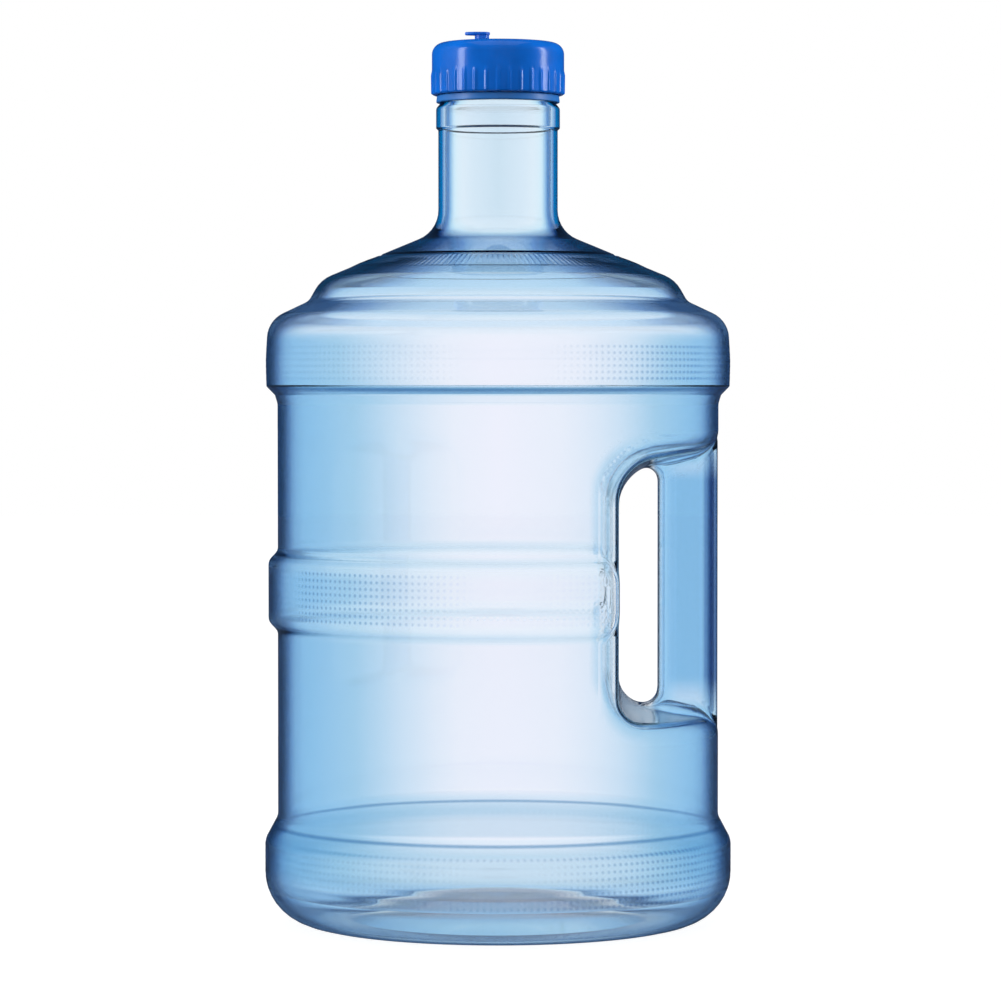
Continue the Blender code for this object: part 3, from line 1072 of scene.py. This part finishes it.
def crease(z, height, half):
    """1 on a narrow ring at a height, and 0 away from it."""
    return 1 - step_up((z - height).math("ABSOLUTE"), half * 0.4, half)


def dot_pattern(x, y, z, columns, band, rows):
    """1 at the middle of each dot of a band, and 0 between and beyond the dots."""
    low, high = band
    across = (y.math("ARCTAN2", x) * (columns / TURN)).math("FRACT") - 0.5
    up = ((high - z) * (rows / (high - low))).math("FRACT") - 0.5
    spot = 1 - step_up((across * across + up * up) ** 0.5, 0.12, 0.34)
    return spot * band_share(z, low, high, 0.1 * MM)


def turned_away(graph, x, z):
    """How far the wall is turned away: 0 face on, 1 edge on, and less on the handle's side of the
    body and in the upper band.

    On the handle's side this is painted light: it makes that side of the body lighter.
    """
    facing = graph.signal(graph.node("ShaderNodeLayerWeight", None, {0: 0.5}).outputs["Facing"])
    upright = 1 - facing
    tilt = (1 - upright * upright) ** 0.5
    # Painted light on the handle's side of the body.
    lightening = step_up(x, 0.0, 38 * MM) * (1 - step_up(x, 60 * MM, 97 * MM)) * PAINTED_LIGHT_SIDE
    lightening = lightening * (z < SHOULDER_START[0]) + band_share(z, *UPPER_BAND, 3 * MM) * UPPER_BAND_LIFT
    return (tilt - lightening * (1 - step_up(tilt, 0.74, 0.92))).math("MAXIMUM", 0)


def wall_tint_and_shade(graph, tilt, x, z, radius, on_grip):
    """The tint and painted shade at each height, the grip's deeper ramp with its painted highlight, a
    painted highlight on the middle band's flanks, and a pale tint on the notch wall whatever its
    facing.
    """
    tint = graph.mix(
        step_up(z, *SHOULDER_START), graph.ramp(tilt, BODY_TINT_AND_SHADE), graph.ramp(tilt, SHOULDER_TINT_AND_SHADE)
    )
    low, high = MIDDLE_BAND
    # Painted highlight: the middle band's flanks take the foot's lighter ramp.
    flank = crease(z, low + 2.5 * MM, 6 * MM) + crease(z, high - 2.5 * MM, 6 * MM)
    flank = flank * (x < BAND_END_X - 8 * MM) * (radius > WALL_RADIUS - 2.2 * MM)
    for share, stops in (
        (step_up(z, *NECK_START), NECK_TINT_SHADE_AND_HIGHLIGHT),
        (1 - step_up(z, *FOOT_END), FOOT_TINT_SHADE_AND_HIGHLIGHT),
        (band_share(z, *LIP, 3 * MM), LIP_TINT_AND_SHADE),
        (on_grip, GRIP_TINT_SHADE_AND_HIGHLIGHT),
        (flank * 0.8, FOOT_TINT_SHADE_AND_HIGHLIGHT),
    ):
        tint = graph.mix(share, tint, graph.ramp(tilt, stops))
    deep = band_share(z, *NOTCH_SPAN, 2 * MM) * (1 - step_up(radius, 94 * MM, 97 * MM))
    on_notch = band_share(x, *NOTCH_WALL_SPAN, 1.5 * MM)
    on_notch = on_notch * deep.math("MAXIMUM", band_share(z, *NOTCH_MIDDLE, 5 * MM))
    return graph.mix(on_notch, tint, NOTCH_TINT)


def deepen(graph, tint, tilt, x, z, radius, on_grip, looks):
    """A deeper tint in the thick base, and painted shade at the grip's outer corners and in the sharp
    creases.
    """
    on_floor = (1 - step_up(radius, 66 * MM, 80 * MM)) * (z < 14 * MM)
    # Painted shade where the grip's outer corners turn away.
    outer = step_up(x, 94 * MM, 97 * MM) * step_up(tilt, 0.4, 0.6)
    outside = band_share(radius, 52 * MM, 120 * MM, 2 * MM)
    # Painted shade along the sharp creases of the bands and the shoulder groove.
    edges = crease(z, 246.2 * MM, 0.9 * MM) + crease(z, 45.6 * MM, 0.9 * MM)
    edges = edges + crease(z, SEAM_Z - 0.5 * MM, 0.7 * MM)
    for share, colour in (
        (band_share(z, *BASE_SPAN, 3 * MM), looks.base_tint),
        (on_floor, looks.base_tint),
        (on_grip * outer, looks.painted_grip_edge_shade),
        ((edges * outside).math("MINIMUM", 1), looks.painted_crease_shade),
    ):
        tint = graph.dye(tint, share, colour)
    return tint


def band_dots(x, y, z, radius, tilt, sizes):
    """The middle band's dots, and how strongly painted shade darkens all the bands' dots.

    The painted shade is strongest in front where the wall turns partly away, the middle band's away
    from the handle and the others' towards it.
    """
    on_band = (radius > MIDDLE_RADIUS - 0.6 * MM) * (x < BAND_END_X - 4 * MM)
    middle = dot_pattern(x, y, z, sizes.middle_dots, MIDDLE_DOTS, MIDDLE_ROWS) * on_band
    upper = dot_pattern(x, y, z, sizes.upper_dots, UPPER_DOTS, UPPER_ROWS)
    lower = dot_pattern(x, y, z, sizes.lower_dots, LOWER_DOTS, LOWER_ROWS)
    side = step_up(x, -40 * MM, 30 * MM)
    spots = middle * (1 - side * 0.7) + (upper + lower) * (side * 0.7 + 0.3)
    spots = spots * (radius > MIDDLE_RADIUS - 1.6 * MM)
    seen = step_up(tilt, 0.1, 0.6) * (1 - step_up(tilt, 0.84, 0.89)) * (1 - (y > 0) * 0.8)
    return middle, spots * seen


def clear_plastic(looks, sizes):
    """Blue-tinted clear plastic.

    Its tint deepens where the wall is seen edge on, partly for the longer path and partly as
    painted shade. It is deeper on the grip and in the thick base, and painted shade darkens the
    grip's outer corners, the sharp edges of the bands and the pressed dots.
    """
    material, graph = new_material("clear_blue_plastic")
    x, y, z = graph.place()
    radius = (x * x + y * y) ** 0.5
    tilt = turned_away(graph, x, z)
    on_grip = band_share(z, *GRIP_SPAN, 9 * MM) * step_up(x, 64 * MM, 74 * MM)
    on_grip = on_grip * (radius < WALL_RADIUS + 0.8 * MM)
    tint = wall_tint_and_shade(graph, tilt, x, z, radius, on_grip)
    tint = deepen(graph, tint, tilt, x, z, radius, on_grip, looks)
    middle, spots = band_dots(x, y, z, radius, tilt, sizes)
    # Painted shade on the pressed dots.
    tint = graph.dye(tint, spots, looks.painted_dot_shade)

    ripple = graph.noise(22.0, 1.0)
    normal = graph.bump(middle * 0.06 + ripple * 0.3, 0.3 * MM, 0.6)
    scuff = graph.noise(160.0, 4.0)
    absorb = graph.node("ShaderNodeVolumeAbsorption", None, {
        "Color": (*looks.plastic_depth, 1), "Density": looks.plastic_density,
    })
    finish_material(graph, {
        "Base Color": tint,
        "Roughness": scuff * 0.03 + 0.01,
        "Metallic": 0.0,
        "IOR": 1.5,
        "Transmission Weight": 1.0,
        "Normal": normal,
    }, absorb)
    return material


def moulded_plastic(name, colour, gloss, grain=0.5):
    """Opaque moulded plastic with a little flow mottling and a fine mould texture."""
    material, graph = new_material(name)
    mottle = graph.noise(70.0, 3.0)
    fine = graph.noise(900.0, 2.0)
    deep = [channel * 0.82 for channel in colour]
    body = graph.mix(step_up(mottle, 0.35, 0.65), (*deep, 1), (*colour, 1))
    finish_material(graph, {
        "Base Color": body,
        "Roughness": fine * 0.12 + gloss,
        "Metallic": 0.0,
        "IOR": 1.49,
        "Normal": graph.bump(fine * 0.6 + mottle * 0.4, 0.05 * MM, grain),
    })
    return material


def foam(name, colour):
    """Matte closed-cell foam with fine pits."""
    material, graph = new_material(name)
    pits = graph.noise(1600.0, 3.0)
    body = graph.mix(pits, (*[c * 0.9 for c in colour], 1), (*colour, 1))
    finish_material(graph, {
        "Base Color": body,
        "Roughness": pits * 0.15 + 0.7,
        "Metallic": 0.0,
        "Normal": graph.bump(pits, 0.08 * MM, 0.7),
    })
    return material


# Settings


class JugSizes(bpy.types.PropertyGroup):
    """Sizes of the jug's details."""

    wall: FloatProperty(
        name="Wall", description="Thickness of the blown wall", default=1.5 * MM, unit="LENGTH"
    )
    dot_height: FloatProperty(
        name="Dot height", description="How far a pressed dot stands out",
        default=0.05 * MM, unit="LENGTH",
    )
    upper_dots: IntProperty(
        name="Upper dots", description="Dots round the upper band", default=226
    )
    middle_dots: IntProperty(
        name="Middle dots", description="Dots round the middle band", default=226
    )
    lower_dots: IntProperty(
        name="Lower dots", description="Dots round the lower band", default=226
    )
    columns: IntProperty(name="Columns", description="Points round the body", default=208)
    inner_columns: IntProperty(
        name="Inner columns", description="Points round the cavity", default=128
    )
    neck_columns: IntProperty(
        name="Neck columns", description="Points round the neck finish", default=168
    )
    ribs: IntProperty(name="Ribs", description="Ribs round the cap", default=36)
    rib_height: FloatProperty(
        name="Rib height", description="How far a rib stands out", default=0.5 * MM, unit="LENGTH"
    )
    cap_corner: FloatProperty(
        name="Cap corner", description="Radius round the cap's crown",
        default=5.4 * MM, unit="LENGTH",
    )


class JugLooks(bpy.types.PropertyGroup):
    """Colours of the jug's materials."""

    base_tint: FloatVectorProperty(
        name="Base tint", description="What the thick wall of the base leaves of the light",
        default=(0.72, 0.84, 0.90), subtype="COLOR", min=0, max=1,
    )
    # Painted shade at the grip's outer corners.
    painted_grip_edge_shade: FloatVectorProperty(
        name="Edge tint", description="What the grip's outer corners leave of the light",
        default=(0.13, 0.20, 0.38), subtype="COLOR", min=0, max=1,
    )
    # Painted shade in the sharp creases.
    painted_crease_shade: FloatVectorProperty(
        name="Crease tint", description="What a sharp edge of a band leaves of the light",
        default=(0.42, 0.56, 0.70), subtype="COLOR", min=0, max=1,
    )
    # Painted shade on the pressed dots.
    painted_dot_shade: FloatVectorProperty(
        name="Dot tint", description="What a pressed dot leaves of the light",
        default=(0.30, 0.47, 0.68), subtype="COLOR", min=0, max=1,
    )
    plastic_depth: FloatVectorProperty(
        name="Depth colour", description="Colour that the plastic takes on with depth",
        default=(0.20, 0.50, 0.85), subtype="COLOR", min=0, max=1,
    )
    plastic_density: FloatProperty(
        name="Depth density", description="How fast the plastic takes on its depth colour",
        default=18.0, min=0,
    )
    cap_colour: FloatVectorProperty(
        name="Cap", description="Colour of the cap and the vent plug",
        default=(0.001, 0.125, 0.58), subtype="COLOR", min=0, max=1,
    )
    ring_colour: FloatVectorProperty(
        name="Ring", description="Colour of the tamper ring",
        default=(0.02, 0.16, 0.50), subtype="COLOR", min=0, max=1,
    )
    liner_colour: FloatVectorProperty(
        name="Liner", description="Colour of the sealing liner",
        default=(0.84, 0.86, 0.87), subtype="COLOR", min=0, max=1,
    )


class StageLooks(bpy.types.PropertyGroup):
    """The camera and the floor."""

    distance: FloatProperty(
        name="Distance", description="From the camera to the jug's axis",
        default=1.92, unit="LENGTH",
    )
    camera_height: FloatProperty(
        name="Camera height", description="Above the floor", default=0.248, unit="LENGTH"
    )
    lens: FloatProperty(name="Lens", description="Focal length in millimetres", default=149.6)
    floor_colour: FloatVectorProperty(
        name="Floor", description="Colour of the floor",
        default=(0.25, 0.25, 0.25), subtype="COLOR", min=0, max=1,
    )


# Operators


def settle(piece, node, body):
    """Puts a finished piece in the place of its CAD node."""
    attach(piece, body)
    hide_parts(node)


class JUG_OT_bottle(bpy.types.Operator):
    """Build the bottle"""

    bl_idname = "jug.bottle"
    bl_label = "Bottle"

    def execute(self, context):
        sizes, looks = context.scene.jug_sizes, context.scene.jug_looks
        shell = build_bottle(sizes, clear_plastic(looks, sizes))
        settle(shell, "bottle", "jug")
        return {"FINISHED"}


class JUG_OT_cap(bpy.types.Operator):
    """Build the screw cap"""

    bl_idname = "jug.cap"
    bl_label = "Cap"

    def execute(self, context):
        sizes, looks = context.scene.jug_sizes, context.scene.jug_looks
        cap = build_cap(sizes, moulded_plastic("cap_plastic", looks.cap_colour, 0.12))
        settle(cap, "cap", "cap")
        return {"FINISHED"}


class JUG_OT_vent_plug(bpy.types.Operator):
    """Build the vent plug"""

    bl_idname = "jug.vent_plug"
    bl_label = "Vent plug"

    def execute(self, context):
        colour = context.scene.jug_looks.cap_colour
        plug = build_plug(moulded_plastic("plug_plastic", colour, 0.28))
        settle(plug, "vent_plug", "plug")
        return {"FINISHED"}


class JUG_OT_seals(bpy.types.Operator):
    """Build the sealing liner and the tamper ring"""

    bl_idname = "jug.seals"
    bl_label = "Liner and tamper ring"

    def execute(self, context):
        looks = context.scene.jug_looks
        liner = build_liner(foam("liner_foam", looks.liner_colour))
        settle(liner, "sealing_liner", "liner")
        ring = build_tamper_ring(moulded_plastic("ring_plastic", looks.ring_colour, 0.3))
        settle(ring, "tamper_ring", "jug")
        return {"FINISHED"}


def add_light(name, place, target, size, power):
    """A soft rectangular light that faces a target."""
    light = bpy.data.lights.new(name, "AREA")
    light.shape = "RECTANGLE"
    light.size, light.size_y = size
    light.energy = power
    obj = bpy.data.objects.new(name, light)
    bpy.context.scene.collection.objects.link(obj)
    obj.location = place
    obj.rotation_euler = (Vector(target) - Vector(place)).to_track_quat("-Z", "Y").to_euler()
    return obj


def seen_share(graph):
    """1 for what the camera sees directly or through the plastic, and 0 for reflections."""
    path = graph.node("ShaderNodeLightPath")
    seen = graph.signal(path.outputs["Is Camera Ray"])
    return seen.math("MAXIMUM", graph.signal(path.outputs["Is Transmission Ray"]))


def light_world():
    """White behind the jug, a pale light on matte things, and a dim blue in reflections."""
    world = bpy.data.worlds.new("studio")
    bpy.context.scene.world = world
    world.use_nodes = True
    graph = Graph(world.node_tree)
    path = graph.node("ShaderNodeLightPath")
    diffuse = graph.signal(path.outputs["Is Diffuse Ray"])
    lit = graph.mix(diffuse, (0.018, 0.05, 0.125, 1), (0.50, 0.50, 0.50, 1))
    colour = graph.mix(seen_share(graph), lit, (1, 1, 1, 1))
    through = graph.signal(path.outputs["Is Transmission Ray"])
    background = graph.node(
        "ShaderNodeBackground", None, {"Color": colour, "Strength": through * 0.07 + 1}
    )
    graph.node("ShaderNodeOutputWorld", None, {"Surface": background.outputs[0]})


def build_floor(colour):
    """A round pale floor that glows evenly to the camera and through the plastic, with a faint fleck.

    To reflections and bounced light it is dark blue instead: a painted dark reflection in the jug's
    clear wall.
    """
    skin = Skin()
    rings = [skin.pole(0)]
    rings += [skin.ring(r, 0, 96) for r in (0.2, 0.6, 1.4, 3.0, 6.0)]
    skin.chain(rings)
    material, graph = new_material("pale_floor")
    fleck = graph.noise(30.0, 3.0)
    body = graph.mix(fleck, (*[c * 0.985 for c in colour], 1), (*colour, 1))
    seen = seen_share(graph)
    # Painted reflection: reflections and bounced light see the floor dark blue.
    body = graph.mix(seen, (0.02, 0.03, 0.06, 1), body)
    glow = graph.mix(seen, (0.02, 0.04, 0.08, 1), (0.93, 0.93, 0.93, 1))
    finish_material(graph, {
        "Base Color": body, "Roughness": 0.9, "Metallic": 0.0,
        "Emission Color": glow, "Emission Strength": 1.0,
    })
    floor = skin.object("floor", material)
    floor.location.z = FOOT_Z - 0.2 * MM
    return floor


def light_only(light, names):
    """Makes a light shine on these pieces alone."""
    lit = bpy.data.collections.new(light.name + "_receivers")
    for name in names:
        lit.objects.link(bpy.data.objects[name])
    light.light_linking.receiver_collection = lit


class JUG_OT_stage(bpy.types.Operator):
    """Build the floor, the lights and the camera"""

    bl_idname = "jug.stage"
    bl_label = "Stage"

    def execute(self, context):
        stage = context.scene.jug_stage
        build_floor(stage.floor_colour)
        light_world()
        opaque = ("cap_shell", "vent_plug_body", "tamper_ring_band", "sealing_liner_ring")
        for name, place, size, power in (
            ("left_softbox", (-1.40, -0.62, 0.55), (0.34, 1.2), 9),
            ("right_softbox", (1.55, -0.10, 0.55), (0.30, 1.2), 8),
            ("left_fill", (-1.5, 0.1, 0.7), (1.4, 1.4), 22),
            ("right_fill", (1.5, 0.2, 0.7), (1.4, 1.4), 22),
            ("front_fill", (0.2, -1.6, 1.2), (1.4, 1.4), 9),
        ):
            light = add_light(name, place, (0, 0, 0.39), size, power)
            light.visible_glossy = "fill" not in name
            light_only(light, opaque)
        top = add_light("top_softbox", (0, -0.3, 1.9), (0, 0, 0.24), (1.6, 1.6), 5)
        light_only(top, (*opaque, "floor"))
        camera = bpy.data.objects.new("camera", bpy.data.cameras.new("camera"))
        context.scene.collection.objects.link(camera)
        camera.data.lens = stage.lens
        camera.data.sensor_width = 36
        camera.location = (1.15 * MM, -stage.distance, stage.camera_height)
        camera.rotation_euler = (pi / 2 - radians(1.59), 0, 0)
        context.scene.camera = camera
        context.scene.view_settings.view_transform = "Standard"
        return {"FINISHED"}


class JUG_PT_panel(bpy.types.Panel):
    """The jug's pieces and settings"""

    bl_label = "Jug"
    bl_idname = "JUG_PT_panel"
    bl_space_type = "VIEW_3D"
    bl_region_type = "UI"
    bl_category = "Jug"

    def draw(self, context):
        for kind in OPERATORS:
            self.layout.operator(kind.bl_idname)
        for group in (context.scene.jug_sizes, context.scene.jug_looks, context.scene.jug_stage):
            for name in group.__annotations__:
                self.layout.prop(group, name)


GROUPS = {"jug_sizes": JugSizes, "jug_looks": JugLooks, "jug_stage": StageLooks}
OPERATORS = (JUG_OT_bottle, JUG_OT_cap, JUG_OT_vent_plug, JUG_OT_seals, JUG_OT_stage)


def register():
    for kind in (*GROUPS.values(), *OPERATORS, JUG_PT_panel):
        bpy.utils.register_class(kind)
    for name, kind in GROUPS.items():
        setattr(bpy.types.Scene, name, PointerProperty(type=kind))


def unregister():
    for name in GROUPS:
        delattr(bpy.types.Scene, name)
    for kind in (JUG_PT_panel, *OPERATORS[::-1], *GROUPS.values()):
        bpy.utils.unregister_class(kind)


def main():
    register()
    bpy.ops.jug.bottle()
    bpy.ops.jug.cap()
    bpy.ops.jug.vent_plug()
    bpy.ops.jug.seals()
    bpy.ops.jug.stage()


if __name__ == "__main__":
    main()
